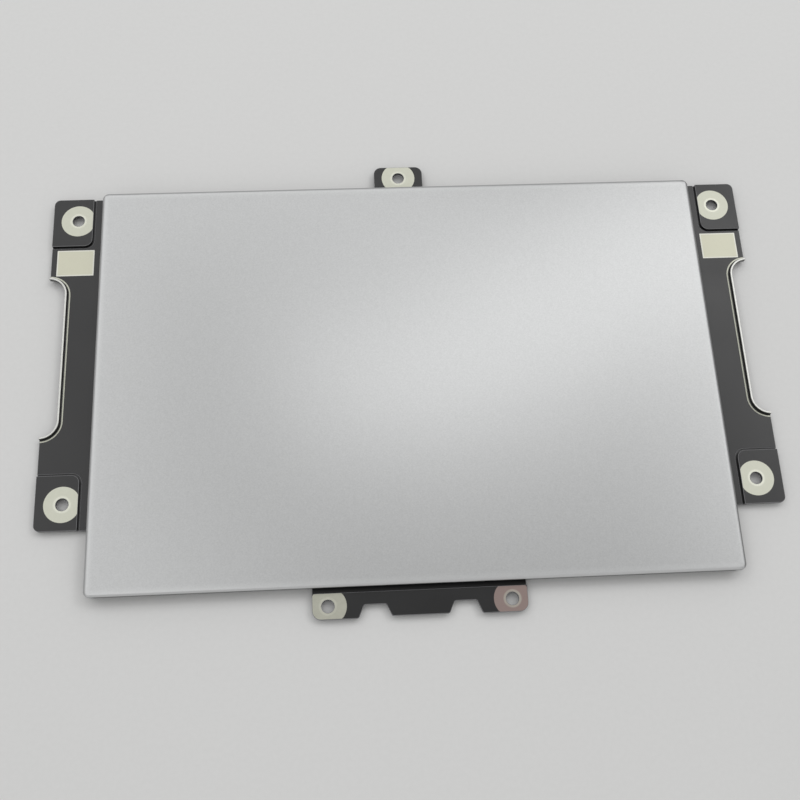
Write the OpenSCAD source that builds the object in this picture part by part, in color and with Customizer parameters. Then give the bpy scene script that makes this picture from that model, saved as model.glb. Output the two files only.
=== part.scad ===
// Touchpad module for a portable computer: a matt touch surface bonded to its sensor board,
// hung on two leaf springs in a stamped steel mounting bracket, with a click switch at the front.
// X runs left to right, Y front to rear, Z up. The origin is the middle of the underside.

/* [Touch surface] */
// Width of the touch surface
pad_w = 120; // [110:1:140]
// Depth of the touch surface, front to rear
pad_d = 81; // [76:1:100]
// Radius of the touch surface's corners, seen from above
pad_corner_r = 1.2; // [0.8:0.1:4]
// Thickness of the cover sheet
cover_t = 0.6; // [0.4:0.05:1.2]
// Radius that eases the cover's upper edge
cover_edge_r = 0.5; // [0.1:0.05:0.55]

/* [Bonded stack] */
// Thickness of each adhesive sheet
tape_t = 0.1; // [0.05:0.01:0.2]
// Thickness of the sensor board
board_t = 0.8; // [0.6:0.1:1.2]
// How far the board stays inside the cover's edge
board_inset = 0.6; // [0.3:0.1:1.5]
// Thickness of the carrier plate under the board
carrier_t = 0.4; // [0.3:0.05:0.6]
// How far the carrier plate stays inside the board's edge
carrier_inset = 2.4; // [1:0.1:4]
// How far the carrier's window round the electronics stays inside the leaf springs
window_leaf_gap = 0.5; // [0:0.1:2]
// Depth of the carrier's window round the electronics
window_d = 30; // [28:1:31]

/* [Mounting bracket] */
// Thickness of the bracket's steel sheet
sheet_t = 0.6; // [0.5:0.05:0.8]
// How far the side wings reach past the touch surface
wing_w = 10; // [9.5:0.1:14]
// Length of a side wing, front to rear
wing_len = 68.2; // [64:0.2:72]
// Distance from the touch surface's rear edge to the wings' rear edge
wing_rear_inset = 0.3; // [0:0.1:1]
// Height of the wings above the low rails
wing_lift = 0.5; // [0.4:0.05:0.7]
// Height of the ears and tabs above the wings
ear_lift = 0.4; // [0.2:0.05:0.6]
// Width of the low rails at the sides
side_rail_w = 8.6; // [6:0.1:10]
// Width of the low rail at the front
front_rail_w = 10.7; // [9.5:0.1:13]
// Thickness of the black coat, which is missing on the bare patches
coat_t = 0.04; // [0.02:0.01:0.06]

/* [Ears] */
// Diameter of every mounting hole
screw_hole_d = 2.3; // [2:0.1:2.6]
// Diameter of the bare ring round a mounting hole
bare_ring_d = 6.8; // [5:0.1:7.2]
// Distance from a wing's outer edge to its ears' holes
ear_hole_edge = 5; // [4.6:0.1:5.2]
// Distance from a wing's end to its ear's hole
ear_hole_end = 4.9; // [4.2:0.1:5.2]
// Width of an ear
ear_w = 7.9; // [7.4:0.1:8.6]
// Length of an ear
ear_len = 10.45; // [9.5:0.05:11]
// Radius of an ear's inner corner
ear_step_r = 1.5; // [1:0.1:2]
// Radius of an ear's outer corner
ear_corner_r = 1.2; // [0.5:0.1:2]
// Width of the pressed groove along an ear's step
groove_w = 0.35; // [0.2:0.05:0.5]
// Depth of the pressed groove along an ear's step
groove_depth = 0.2; // [0.1:0.05:0.25]

/* [Side notches] */
// Depth of the notch in a wing's outer edge, and radius of its corners
notch_r = 3.2; // [2.5:0.1:3.6]
// Length of the notch
notch_len = 32.5; // [24:0.5:34]
// Distance from the wing's rear edge to the notch
notch_offset = 17.8; // [17:0.1:20]
// Height of the turned-up flange above the wing
flange_h = 0.8; // [0.7:0.05:1.2]
// Thickness of the flange, which its bend draws thinner than the sheet
flange_t = 0.4; // [0.3:0.05:0.5]
// Inner radius of the flange's bend
bend_r = 0.2; // [0.1:0.05:0.4]
// Width of the bare line along the flange's foot
bare_line_w = 0.25; // [0.2:0.05:0.5]

/* [Bare pads] */
// Distance from a wing's outer edge to its bare earthing pad
earth_pad_edge = 1.1; // [0.5:0.1:1.5]
// Distance from the rear ear's step to the earthing pad
earth_pad_gap = 0.8; // [0.6:0.1:1.2]
// Width of the bare earthing pad on a wing
earth_pad_w = 7.3; // [5:0.1:7.5]
// Length of the bare earthing pad on a wing
earth_pad_len = 5.6; // [4:0.1:5.6]

/* [Front and rear tabs] */
// How far the tabs reach past the touch surface
tab_reach = 5.5; // [5.4:0.1:7]
// Width of the rear tab
rear_tab_w = 10; // [8:0.1:14]
// Distance from the touch surface to the rear tab's hole
rear_hole_out = 2.9; // [2.6:0.1:3.2]
// Width of the front tab plate
front_tab_w = 39.1; // [37.6:0.1:42]
// Distance from the front tab plate's sides to its holes
front_hole_edge = 2.85; // [2.5:0.05:3.3]
// Distance from the touch surface to the front tab plate's holes
front_hole_out = 3.15; // [2.9:0.05:3.4]
// Distance from the touch surface to the front tab plate's step
front_step_out = 0.8; // [0.5:0.1:1]
// Depth of the two notches in the front tab plate
front_notch_depth = 2.4; // [1.5:0.1:2.8]

/* [Hinge and switch] */
// Distance from the touch surface's rear edge to the hinge line
hinge_inset = 10.5; // [10:0.1:11.5]
// Free span of the leaf springs across the hinge line
hinge_gap = 2; // [1.4:0.1:3]
// Thickness of a leaf spring
leaf_t = 0.2; // [0.15:0.01:0.25]
// Width of a leaf spring
leaf_w = 20; // [16:0.5:22]
// Distance from the touch surface's side to the middle of a leaf spring
leaf_inset = 22; // [19:0.5:23]
// Distance from the touch surface's front edge to the click switch
switch_inset = 5.5; // [5:0.1:6]
// Side of the click switch's square base
switch_w = 5; // [4.5:0.1:5.5]
// Travel of the switch's plunger
switch_travel = 0.25; // [0.15:0.01:0.27]

/* [Hidden] */
$fn = 48;

// Colours, as the photographed object shows them
coat_black = [0.13, 0.13, 0.14];
steel = [0.72, 0.72, 0.70];
silver = [0.76, 0.76, 0.77];
mask_black = [0.07, 0.09, 0.08];
tape_grey = [0.45, 0.45, 0.45];
moulded_black = [0.09, 0.09, 0.10];
moulded_ivory = [0.86, 0.83, 0.74];
ceramic_tan = [0.62, 0.50, 0.36];
rubber_black = [0.10, 0.10, 0.10];

// Overshoot of a cutting tool past the face that it cuts
over = 1;
// Height of a cut that has to stay below the flange
skim = 0.1;
// Corner steps of a rounded outline
corner_steps = 6;

// Heights of the layers, from the table up
z_wing = wing_lift;
z_ear = z_wing + ear_lift;
z_leaf = z_wing + sheet_t;
z_carrier = z_leaf + leaf_t;
z_carrier_tape = z_carrier + carrier_t;
z_board = z_carrier_tape + tape_t;
z_cover_tape = z_board + board_t;
z_cover = z_cover_tape + tape_t;

// Plan of the bracket
half_w = pad_w / 2;
half_d = pad_d / 2;
wing_x = half_w + wing_w;
wing_rear = half_d - wing_rear_inset;
wing_front = wing_rear - wing_len;
rail_x = half_w + sheet_t;
web_x = rail_x - sheet_t;
rail_window_x = rail_x - side_rail_w;
rail_front_inset = 0.3;
rail_front = -half_d + rail_front_inset;
rail_window_front = rail_front + front_rail_w;
hinge_y = half_d - hinge_inset;
rear_rail_front = hinge_y + hinge_gap / 2;
rail_corner_r = 2;
rail_window_r = 3;

// Plan of the ears, the notch and the tabs
ear_in = wing_x - ear_w;
ear_hole_x = wing_x - ear_hole_edge;
ear_end = [wing_front, wing_rear];
ear_hole_y = [wing_front + ear_hole_end, wing_rear - ear_hole_end];
ear_step_y = [wing_front + ear_len, wing_rear - ear_len];
notch_rear = wing_rear - notch_offset;
notch_front = notch_rear - notch_len;
bend_out = flange_t + bend_r;
bare_line_gap = 0.05;
bare_line_at = bend_out + bare_line_gap;
front_tab_rear = -half_d - front_step_out;
front_tab_front = -half_d - tab_reach;
front_hole_x = front_tab_w / 2 - front_hole_edge;
front_hole_y = -half_d - front_hole_out;
front_tongue_inset = 0.2;
front_tongue_front = front_tab_front + front_tongue_inset;
front_tongue_x = 5.2;
front_notch_x = 11.2;
front_notch_slope = 1;
front_tab_r = 1.6;
front_notch_r = 0.5;
front_lap = 2;
rear_tab_end = half_d + tab_reach;
rear_tab_r = 1.5;
rear_hole_y = half_d + rear_hole_out;

// The middles of all mounting holes
hole_places = [
    for (side = [-1, 1], y = ear_hole_y) [side * ear_hole_x, y],
    for (side = [-1, 1]) [side * front_hole_x, front_hole_y],
    [0, rear_hole_y]
];

// Plan of the carrier plate
carrier_x = half_w - board_inset - carrier_inset;
carrier_front = -half_d + board_inset + carrier_inset;
carrier_rear = hinge_y - hinge_gap / 2;
carrier_r = 2;
window_margin = 6;
window_rear = carrier_rear - window_margin;
window_front = window_rear - window_d;
window_r = 2;
switch_margin = 2.2;
switch_window = switch_w + 2 * switch_margin;
carrier_tape_inset = 0.5;

// Leaf springs and their rivets
leaf_x = half_w - leaf_inset;
leaf_reach = 10;
leaf_margin = 2;
leaf_front = hinge_y - leaf_reach;
leaf_rear = wing_rear - leaf_margin;
leaf_r = 1.2;
window_x = leaf_x - leaf_w / 2 - window_leaf_gap;
leaf_slot_w = 10;
leaf_slot_d = 3;
rivet_r = 0.75;
rivet_gap = 0.05;
rivet_hole_r = rivet_r + rivet_gap;
rivet_head_r = 1.3;
rivet_head_t = 0.25;
rivet_upset_t = 0.08;
rivet_tape_gap = 0.5;
rivet_tape_r = rivet_head_r + rivet_tape_gap;
rivet_margin = 4;
rivet_pitch = leaf_w - 2 * rivet_margin;
bracket_rivet_y = (rear_rail_front + leaf_rear) / 2;
carrier_rivet_y = (carrier_rear + leaf_front) / 2;

// Click switch, hung under the board
switch_y = -half_d + switch_inset;
anvil_r = 1.5;
anvil_h = 0.15;
anvil_gap = 0.02;
switch_wall = 0.15;
switch_cover_t = 0.08;
dome_r = 1.7;
dome_t = 0.06;
chamber_gap = 0.2;
chamber_r = dome_r + chamber_gap;
plunger_flange_t = 0.14;
plunger_flange_r = 1.4;
plunger_r = 0.9;
plunger_gap = 0.1;
plunger_hole_r = plunger_r + plunger_gap;
terminal_size = [0.9, 0.8, 0.12];
fit_gap = 0.02;
z_anvil = sheet_t + anvil_h;
z_plunger = z_anvil + anvil_gap;
switch_cover_gap = 0.1;
z_switch_cover = z_plunger + switch_travel + switch_cover_gap;
z_switch_base = z_switch_cover + switch_cover_t;
z_flange = z_switch_base + fit_gap / 2;
z_dome_crown = z_flange + plunger_flange_t + fit_gap;
z_dome_rim = z_board - switch_wall - fit_gap;

// Stop bumpers on the front rail
bumper = [5, 4];
bumper_inset = 12;
bumper_spare = 0.05;
bumper_x = half_w - bumper_inset;
bumper_gap = switch_travel + bumper_spare;
bumper_r = 0.8;

// Electronics in the carrier's window, placed from its middle
layout_y = (window_front + window_rear) / 2;
controller_at = [-12, layout_y - 1];
controller_size = [8, 8, 0.85];
memory_at = [-1, layout_y + 3];
memory_size = [3, 2, 0.55];
regulator_at = [18, layout_y - 3];
regulator_size = [2.9, 1.6, 1];
regulator_lead = [0.4, 0.6, 0.15];
regulator_pitch = 0.95;
regulator_lap = 0.2;
dot_r = 0.4;
dot_depth = 0.05;
dot_inset = 1;
capacitor_size = [1.6, 0.8, 0.8];
resistor_size = [1, 0.5, 0.35];
terminal_share = 0.25;
capacitor_places = [
    [-19, 4], [-19, 1], [-19, -2], [-19, -5], [-5, -4], [-5, -6.5], [13, -3], [23, -3],
    [13, -6], [23, -6], [13, 0], [-24, 6], [-24, -6], [-14, -9]
];
resistor_places = [
    [-8, 6.5], [-10, 6.5], [-12, 6.5], [-14, 6.5], [-16, 6.5], [-1, -1], [1, -1], [3, -1], [5, -1],
    [-1, -3], [1, -3], [3, -3], [18, -7]
];

// Cable connector, mouth to the rear
contact_count = 12;
contact_pitch = 0.5;
contact_w = 0.2;
contact_t = 0.12;
contact_tail = 0.7;
contact_post = 0.2;
contact_short = 0.6;
contact_gap = 0.01;
connector_cheek = 0.9;
connector_d = 4;
connector_h = 1;
connector_x = (contact_count + 1) * contact_pitch / 2 + connector_cheek;
connector_at = [8, layout_y + 4];
cable_slot_h = 0.34;
cable_slot_depth = 3;
cable_slot_roof = 0.3;
latch_t = 0.4;
latch_len = 2;
latch_gap = 0.1;
journal_r = 0.15;
journal_gap = 0.03;
journal_hole_r = journal_r + journal_gap;
journal_len = 0.4;
anchor_size = [0.8, 1.4, 0.12];
connector_front = connector_at.y - connector_d / 2;
connector_rear = connector_at.y + connector_d / 2;
z_connector = z_board - connector_h;
z_cable_slot = z_board - cable_slot_roof - cable_slot_h;
latch_x = connector_x - connector_cheek - latch_gap;
latch_y = connector_rear - latch_len + latch_t / 2;
z_latch = z_connector + latch_t / 2;

// The contacts' places along the connector
contact_xs = [
    for (k = [0 : contact_count - 1])
        connector_at.x + (k - (contact_count - 1) / 2) * contact_pitch
];

// A unit vector along v
function unit(v) = v / norm(v);

// The arc that rounds corner p, given as [x, y, radius], between its neighbours a and b
function corner_arc(a, p, b) =
    p[2] == 0 ? [[p.x, p.y]] :
    let (
        tip = [p.x, p.y],
        u = unit([a.x, a.y] - tip),
        v = unit([b.x, b.y] - tip),
        half = acos(u * v) / 2,
        centre = tip + unit(u + v) * p[2] / sin(half),
        start = tip + u * p[2] / tan(half) - centre,
        end = tip + v * p[2] / tan(half) - centre,
        from = atan2(start.y, start.x),
        turn = atan2(cross(start, end), start * end)
    )
    [
        for (k = [0 : corner_steps])
            let (a = from + turn * k / corner_steps)
            centre + p[2] * [cos(a), sin(a)]
    ];

// The points of a closed outline through corners given as [x, y, radius]
function rounded(corners) = [
    let (count = len(corners))
    for (i = [0 : count - 1])
        each corner_arc(corners[(i + count - 1) % count], corners[i], corners[(i + 1) % count])
];

// The corners of a rectangle between two opposite points, all of one radius
function box_corners(low, high, r) = [
    [low.x, low.y, r], [high.x, low.y, r], [high.x, high.y, r], [low.x, high.y, r]
];

// A closed outline with rounded corners
module outline(corners) {
    polygon(rounded(corners));
}

// A flat layer of thickness t on height z
module sheet(z, t) {
    translate([0, 0, z]) linear_extrude(t) children();
}

// The same on the right and on the left
module both_sides() {
    children();
    mirror([1, 0, 0]) children();
}

// The touch surface's outline, drawn in by an inset
module pad_outline(inset) {
    least_r = 0.2;
    r = max(pad_corner_r - inset, least_r);
    outline(box_corners([inset - half_w, inset - half_d], [half_w - inset, half_d - inset], r));
}

// Mounting bracket: low rails under the touch surface
module low_outline() {
    rear = rear_rail_front + sheet_t;
    outline([
        [-rail_x, rail_front, rail_corner_r], [rail_x, rail_front, rail_corner_r], [rail_x, rear, 0],
        [rail_window_x, rear, 0], [rail_window_x, rail_window_front, rail_window_r],
        [-rail_window_x, rail_window_front, rail_window_r], [-rail_window_x, rear, 0], [-rail_x, rear, 0]
    ]);
}

// Mounting bracket: the raised rear rail with both wings
module raised_outline() {
    outline([
        [web_x, wing_front, 0], [wing_x, wing_front, ear_corner_r], [wing_x, wing_rear, ear_corner_r],
        [-wing_x, wing_rear, ear_corner_r], [-wing_x, wing_front, ear_corner_r], [-web_x, wing_front, 0],
        [-web_x, rear_rail_front, 0], [web_x, rear_rail_front, 0]
    ]);
}

// An ear of the right wing, at the front (0) or the rear (1), grown by a margin on its stepped sides
module ear_outline(end, grow = 0, past = 0) {
    away = end == 0 ? 1 : -1;
    inner = ear_in - grow;
    step = ear_step_y[end] + away * grow;
    outer = wing_x + past;
    tip = ear_end[end] - away * past;
    outline([
        [inner, step, ear_step_r + grow], [inner, tip, 0],
        [outer, tip, past > 0 ? 0 : ear_corner_r], [outer, step, 0]
    ]);
}

// An ear of the right wing with the wall that joins it to the wing
module ear(end) {
    sheet(z_ear, sheet_t) ear_outline(end);
    sheet(z_wing, ear_lift + sheet_t) difference() {
        ear_outline(end);
        ear_outline(end, -sheet_t, over);
    }
}

// The notch in the right wing, grown into the wing by a margin
module notch_outline(grow) {
    translate([wing_x - notch_r - grow, notch_front + notch_r])
        square([notch_r + grow + over, notch_len - 2 * notch_r]);
    for (y = [notch_front + notch_r, notch_rear - notch_r])
        translate([wing_x, y]) circle(notch_r + grow);
}

// The raised sheet, open where the ears and the flanges rise out of it
module raised_sheet() {
    sheet(z_wing, sheet_t) difference() {
        raised_outline();
        both_sides() {
            notch_outline(bend_out);
            for (end = [0, 1]) ear_outline(end, -sheet_t, over);
        }
    }
}

// Section of the flange: x is the distance from the notch, y the height
module flange_section() {
    lap = 0.3;
    difference() {
        translate([0, z_wing]) {
            square([flange_t, sheet_t + flange_h]);
            square([bend_out, sheet_t + bend_r]);
            square([bend_out + lap, sheet_t]);
        }
        translate([bend_out, z_leaf + bend_r]) circle(bend_r);
        translate([0, z_wing]) difference() {
            square(bend_out);
            translate([bend_out, bend_out]) circle(bend_out);
        }
    }
}

// The flange turned up along the right wing's notch
module notch_flange() {
    for (end = [0, 1])
        translate([wing_x, end == 0 ? notch_front + notch_r : notch_rear - notch_r, 0])
            rotate([0, 0, end == 0 ? 180 : 90])
                rotate_extrude(angle = 90) translate([notch_r, 0]) flange_section();
    translate([wing_x - notch_r, notch_front + notch_r, 0]) rotate([90, 0, 180])
        linear_extrude(notch_len - 2 * notch_r) flange_section();
}

// The front tab plate: two lugs, with a tongue between two notches
module front_tab_outline() {
    tab_x = front_tab_w / 2;
    notch_y = front_tab_front + front_notch_depth;
    side = [
        [front_tongue_x, front_tongue_front, front_notch_r],
        [front_tongue_x + front_notch_slope, notch_y, front_notch_r],
        [front_notch_x - front_notch_slope, notch_y, front_notch_r],
        [front_notch_x, front_tab_front, front_notch_r],
        [tab_x, front_tab_front, front_tab_r],
        [tab_x, front_tab_rear, 0]
    ];
    last = len(side) - 1;
    outline(concat(side, [for (i = [last : -1 : 0]) [-side[i].x, side[i].y, side[i][2]]]));
}

// The front tab plate with the wall that joins it to the front rail
module front_tab() {
    sheet(z_ear, sheet_t) front_tab_outline();
    translate([-front_tab_w / 2, front_tab_rear - sheet_t, 0])
        cube([front_tab_w, sheet_t, z_ear + sheet_t]);
    translate([-front_tab_w / 2, front_tab_rear - sheet_t, 0])
        cube([front_tab_w, rail_front + front_lap + sheet_t - front_tab_rear, sheet_t]);
}

// The rear tab with the wall that joins it to the rear rail
module rear_tab() {
    tab_x = rear_tab_w / 2;
    root = wing_rear - sheet_t;
    sheet(z_ear, sheet_t) outline([
        [-tab_x, root, 0], [tab_x, root, 0],
        [tab_x, rear_tab_end, rear_tab_r], [-tab_x, rear_tab_end, rear_tab_r]
    ]);
    translate([-tab_x, root, z_wing]) cube([rear_tab_w, sheet_t, ear_lift + sheet_t]);
}

// Bare steel: rings on the ears and tabs, and the earthing pads and foot lines on the wings
module bare_patches() {
    sheet(z_ear + sheet_t - coat_t, over) {
        both_sides() for (end = [0, 1]) intersection() {
            translate([ear_hole_x, ear_hole_y[end]]) circle(d = bare_ring_d);
            ear_outline(end);
        }
        both_sides() intersection() {
            translate([front_hole_x, front_hole_y]) circle(d = bare_ring_d);
            front_tab_outline();
        }
        translate([0, rear_hole_y]) circle(d = bare_ring_d);
    }
    both_sides() sheet(z_leaf - coat_t, coat_t + skim) {
        translate([wing_x - earth_pad_edge - earth_pad_w, ear_step_y[1] - earth_pad_gap - earth_pad_len])
            square([earth_pad_w, earth_pad_len]);
        intersection() {
            difference() {
                notch_outline(bare_line_at + bare_line_w);
                notch_outline(bare_line_at);
            }
            translate([half_w, notch_front - notch_r]) square([wing_w, notch_len + 2 * notch_r]);
        }
    }
}

module mounting_bracket() {
    color(coat_black) difference() {
        union() {
            difference() {
                union() {
                    sheet(0, sheet_t) low_outline();
                    raised_sheet();
                    sheet(0, z_wing + sheet_t) intersection() {
                        low_outline();
                        raised_outline();
                    }
                }
                both_sides() for (end = [0, 1])
                    sheet(z_leaf - groove_depth, over) difference() {
                        ear_outline(end, groove_w, over);
                        ear_outline(end, 0, over);
                    }
            }
            both_sides() {
                notch_flange();
                for (end = [0, 1]) ear(end);
            }
            front_tab();
            rear_tab();
            translate([0, switch_y, 0]) cylinder(r = anvil_r, h = z_anvil);
        }
        bare_patches();
        for (p = hole_places) translate([p.x, p.y, -over]) cylinder(d = screw_hole_d, h = z_cover);
        translate([0, switch_y, -over]) cylinder(r = anvil_r - sheet_t / 2, h = over + anvil_h);
        at_rivets(bracket_rivet_y) cylinder(r = rivet_hole_r, h = z_leaf + over);
    }
}

// The rivets' places along a line across the module
module at_rivets(y) {
    for (side = [-1, 1], k = [-1, 1])
        translate([side * leaf_x + k * rivet_pitch / 2, y, 0]) children();
}

// Leaf springs that carry the touch surface: one end on the rear rail, the other on the carrier
module hinge_leaf(side) {
    x = side * leaf_x;
    slot = [leaf_slot_w, leaf_slot_d] / 2;
    color(steel) difference() {
        sheet(z_leaf, leaf_t) difference() {
            outline(box_corners([x - leaf_w / 2, leaf_front], [x + leaf_w / 2, leaf_rear], leaf_r));
            outline(box_corners([x, hinge_y] - slot, [x, hinge_y] + slot, leaf_r));
        }
        for (y = [bracket_rivet_y, carrier_rivet_y]) at_rivets(y) cylinder(r = rivet_hole_r, h = z_cover);
    }
}

module bracket_rivets() {
    bottom = z_wing - rivet_head_t;
    top = z_carrier + rivet_head_t;
    color(steel) at_rivets(bracket_rivet_y) {
        translate([0, 0, bottom]) cylinder(r = rivet_head_r, h = rivet_head_t);
        translate([0, 0, bottom]) cylinder(r = rivet_r, h = top - bottom);
        translate([0, 0, z_carrier]) cylinder(r = rivet_head_r, h = rivet_head_t);
    }
}

module carrier_rivets() {
    bottom = z_leaf - rivet_head_t;
    top = z_carrier_tape + rivet_upset_t;
    color(steel) at_rivets(carrier_rivet_y) {
        translate([0, 0, bottom]) cylinder(r = rivet_head_r, h = rivet_head_t);
        translate([0, 0, bottom]) cylinder(r = rivet_r, h = top - bottom);
        translate([0, 0, z_carrier_tape]) cylinder(r = rivet_head_r, h = rivet_upset_t);
    }
}

module stop_bumpers() {
    y = rail_front + front_rail_w / 2;
    color(rubber_black) both_sides() sheet(sheet_t, z_carrier - sheet_t - bumper_gap)
        outline(box_corners([bumper_x, y] - bumper / 2, [bumper_x, y] + bumper / 2, bumper_r));
}

// Cover sheet with an eased upper edge
module touch_cover() {
    steps = 4;
    slice = 0.01;
    edge_r = min(cover_edge_r, cover_t - 2 * slice);
    color(silver) hull() {
        sheet(z_cover, slice) pad_outline(0);
        for (k = [0 : steps]) let (a = 90 * k / steps)
            sheet(z_cover + cover_t - slice - edge_r * (1 - sin(a)), slice)
                pad_outline(edge_r * (1 - cos(a)));
    }
}

module cover_adhesive() {
    color(tape_grey) sheet(z_cover_tape, tape_t) pad_outline(2 * board_inset);
}

module sensor_board() {
    color(mask_black) sheet(z_board, board_t) pad_outline(board_inset);
}

// Carrier plate under the board, cut out round the electronics and the switch
module carrier_outline(inset) {
    difference() {
        outline(box_corners(
            [inset - carrier_x, carrier_front + inset],
            [carrier_x - inset, carrier_rear - inset],
            carrier_r
        ));
        outline(box_corners(
            [-window_x - inset, window_front - inset],
            [window_x + inset, window_rear + inset],
            window_r
        ));
        translate([0, switch_y]) square(switch_window + 2 * inset, center = true);
    }
}

module carrier_plate() {
    color(steel) difference() {
        sheet(z_carrier, carrier_t) carrier_outline(0);
        at_rivets(carrier_rivet_y) cylinder(r = rivet_hole_r, h = z_cover);
    }
}

module carrier_adhesive() {
    color(tape_grey) difference() {
        sheet(z_carrier_tape, tape_t) carrier_outline(carrier_tape_inset);
        at_rivets(carrier_rivet_y) cylinder(r = rivet_tape_r, h = z_cover);
    }
}

// A block hung under the board, its middle at a place in plan
module under_board(at, size) {
    translate([at.x - size.x / 2, at.y - size.y / 2, z_board - size.z]) cube(size);
}

module touch_controller() {
    dot_x = controller_at.x - controller_size.x / 2 + dot_inset;
    dot_y = controller_at.y + controller_size.y / 2 - dot_inset;
    color(moulded_black) difference() {
        under_board(controller_at, controller_size);
        translate([dot_x, dot_y, z_board - controller_size.z + dot_depth - over])
            cylinder(r = dot_r, h = over);
    }
}

module memory_chip() {
    color(moulded_black) under_board(memory_at, memory_size);
}

module regulator_body() {
    stand = regulator_lead.z;
    color(moulded_black) translate([0, 0, -stand])
        under_board(regulator_at, [regulator_size.x, regulator_size.y, regulator_size.z - stand]);
}

module regulator_leads() {
    reach = (regulator_size.y + regulator_lead.y) / 2 - regulator_lap;
    color(steel) for (side = [-1, 1], k = [-1 : 1])
        if (side < 0 || k != 0)
            under_board(regulator_at + [k * regulator_pitch, side * reach], regulator_lead);
}

// The body of a two-ended chip, between its metal ends
module chip_body(at, size) {
    under_board(at, [size.x * (1 - 2 * terminal_share), size.y, size.z]);
}

module chip_ends(at, size) {
    for (side = [-1, 1])
        under_board(
            at + [side * size.x * (1 - terminal_share) / 2, 0],
            [size.x * terminal_share, size.y, size.z]
        );
}

module chip_capacitors() {
    color(ceramic_tan) for (p = capacitor_places) chip_body([p.x, p.y + layout_y], capacitor_size);
}

module chip_resistors() {
    color(moulded_black) for (p = resistor_places) chip_body([p.x, p.y + layout_y], resistor_size);
}

module chip_terminals() {
    color(steel) {
        for (p = capacitor_places) chip_ends([p.x, p.y + layout_y], capacitor_size);
        for (p = resistor_places) chip_ends([p.x, p.y + layout_y], resistor_size);
    }
}

// One contact: a solder tail behind the housing and a blade along the roof of the cable slot
module contact(x, gap) {
    w = contact_w + 2 * gap;
    z_blade = z_board - cable_slot_roof - contact_t;
    post = connector_front + contact_post;
    translate([x - w / 2, connector_front - contact_tail, z_board - contact_t])
        cube([w, contact_tail + 2 * contact_post + gap, contact_t]);
    translate([x - w / 2, connector_front - gap, z_blade])
        cube([w, connector_d - contact_short, contact_t]);
    translate([x - w / 2, post - gap, z_blade])
        cube([w, contact_post + 2 * gap, z_board - z_blade]);
}

module connector_contacts() {
    color(steel) for (x = contact_xs) contact(x, 0);
}

module connector_housing() {
    inner_x = connector_x - connector_cheek;
    pivot_x = latch_x + journal_len + latch_gap;
    latch_recess = latch_len + latch_gap;
    color(moulded_ivory) difference() {
        under_board(connector_at, [2 * connector_x, connector_d, connector_h]);
        translate([connector_at.x - inner_x, connector_rear - cable_slot_depth, z_cable_slot])
            cube([2 * inner_x, cable_slot_depth + over, cable_slot_h]);
        translate([connector_at.x - inner_x, connector_rear - latch_recess, z_connector - over])
            cube([2 * inner_x, latch_recess + over, over + z_cable_slot + cable_slot_h / 2 - z_connector]);
        translate([connector_at.x, latch_y, z_latch]) rotate([0, 90, 0])
            cylinder(r = journal_hole_r, h = 2 * pivot_x, center = true);
        for (x = contact_xs) contact(x, contact_gap);
    }
}

module connector_anchors() {
    reach = connector_x + anchor_size.x / 2;
    color(steel) for (side = [-1, 1])
        under_board(connector_at + [side * reach, 0], anchor_size);
}

// Flip lock across the connector's mouth, turning on two journals in the cheeks
module connector_latch() {
    color(moulded_black) translate([connector_at.x, latch_y, z_latch]) {
        rotate([0, 90, 0]) cylinder(r = latch_t / 2, h = 2 * latch_x, center = true);
        rotate([0, 90, 0]) cylinder(r = journal_r, h = 2 * (latch_x + journal_len), center = true);
        translate([-latch_x, 0, -latch_t / 2]) cube([2 * latch_x, latch_len - latch_t / 2, latch_t]);
    }
}

// Click switch: a base with a round chamber, open downwards
module switch_base() {
    color(moulded_black) difference() {
        translate([-switch_w / 2, switch_y - switch_w / 2, z_switch_base])
            cube([switch_w, switch_w, z_board - z_switch_base]);
        translate([0, switch_y, z_switch_base - over])
            cylinder(r = chamber_r, h = over + z_board - switch_wall - z_switch_base);
    }
}

module switch_terminals() {
    reach = [(switch_w + terminal_size.x) / 2, switch_w / 2 - terminal_size.y];
    color(steel) for (x = [-1, 1], y = [-1, 1])
        under_board([x * reach.x, switch_y + y * reach.y], terminal_size);
}

// Snap dome over the chamber's floor, crown down
module switch_dome() {
    rise = z_dome_rim - z_dome_crown;
    ball = (dome_r * dome_r + rise * rise) / (2 * rise);
    color(steel) translate([0, switch_y, z_dome_crown + ball]) rotate_extrude() intersection() {
        difference() {
            circle(ball, $fn = 96);
            circle(ball - dome_t, $fn = 96);
        }
        translate([0, -ball]) square([dome_r, rise]);
    }
}

module switch_cover() {
    color(steel) difference() {
        translate([-switch_w / 2, switch_y - switch_w / 2, z_switch_cover])
            cube([switch_w, switch_w, switch_cover_t]);
        translate([0, switch_y, z_switch_cover - over]) cylinder(r = plunger_hole_r, h = 2 * over);
    }
}

module switch_plunger() {
    color(moulded_ivory) translate([0, switch_y, 0]) {
        translate([0, 0, z_plunger]) cylinder(r = plunger_r, h = z_flange + plunger_flange_t - z_plunger);
        translate([0, 0, z_flange]) cylinder(r = plunger_flange_r, h = plunger_flange_t);
    }
}

mounting_bracket();
hinge_leaf(-1);  // hinge_leaf_left
hinge_leaf(1);  // hinge_leaf_right
bracket_rivets();
stop_bumpers();
touch_cover();
cover_adhesive();
sensor_board();
carrier_adhesive();
carrier_plate();
carrier_rivets();
touch_controller();
memory_chip();
regulator_body();
regulator_leads();
chip_capacitors();
chip_resistors();
chip_terminals();
connector_housing();
connector_contacts();
connector_anchors();
connector_latch();
switch_base();
switch_terminals();
switch_dome();
switch_cover();
switch_plunger();
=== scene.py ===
"""Looks of a touchpad module: its finishes, eased sheet metal, rivets, chips and a plain studio.

The packed model is the fixed frame. Sizes are written in millimetres, and every mesh is made in
metres in the frame's own coordinates: X to the right, Y to the rear, Z up from the underside.
"""

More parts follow.
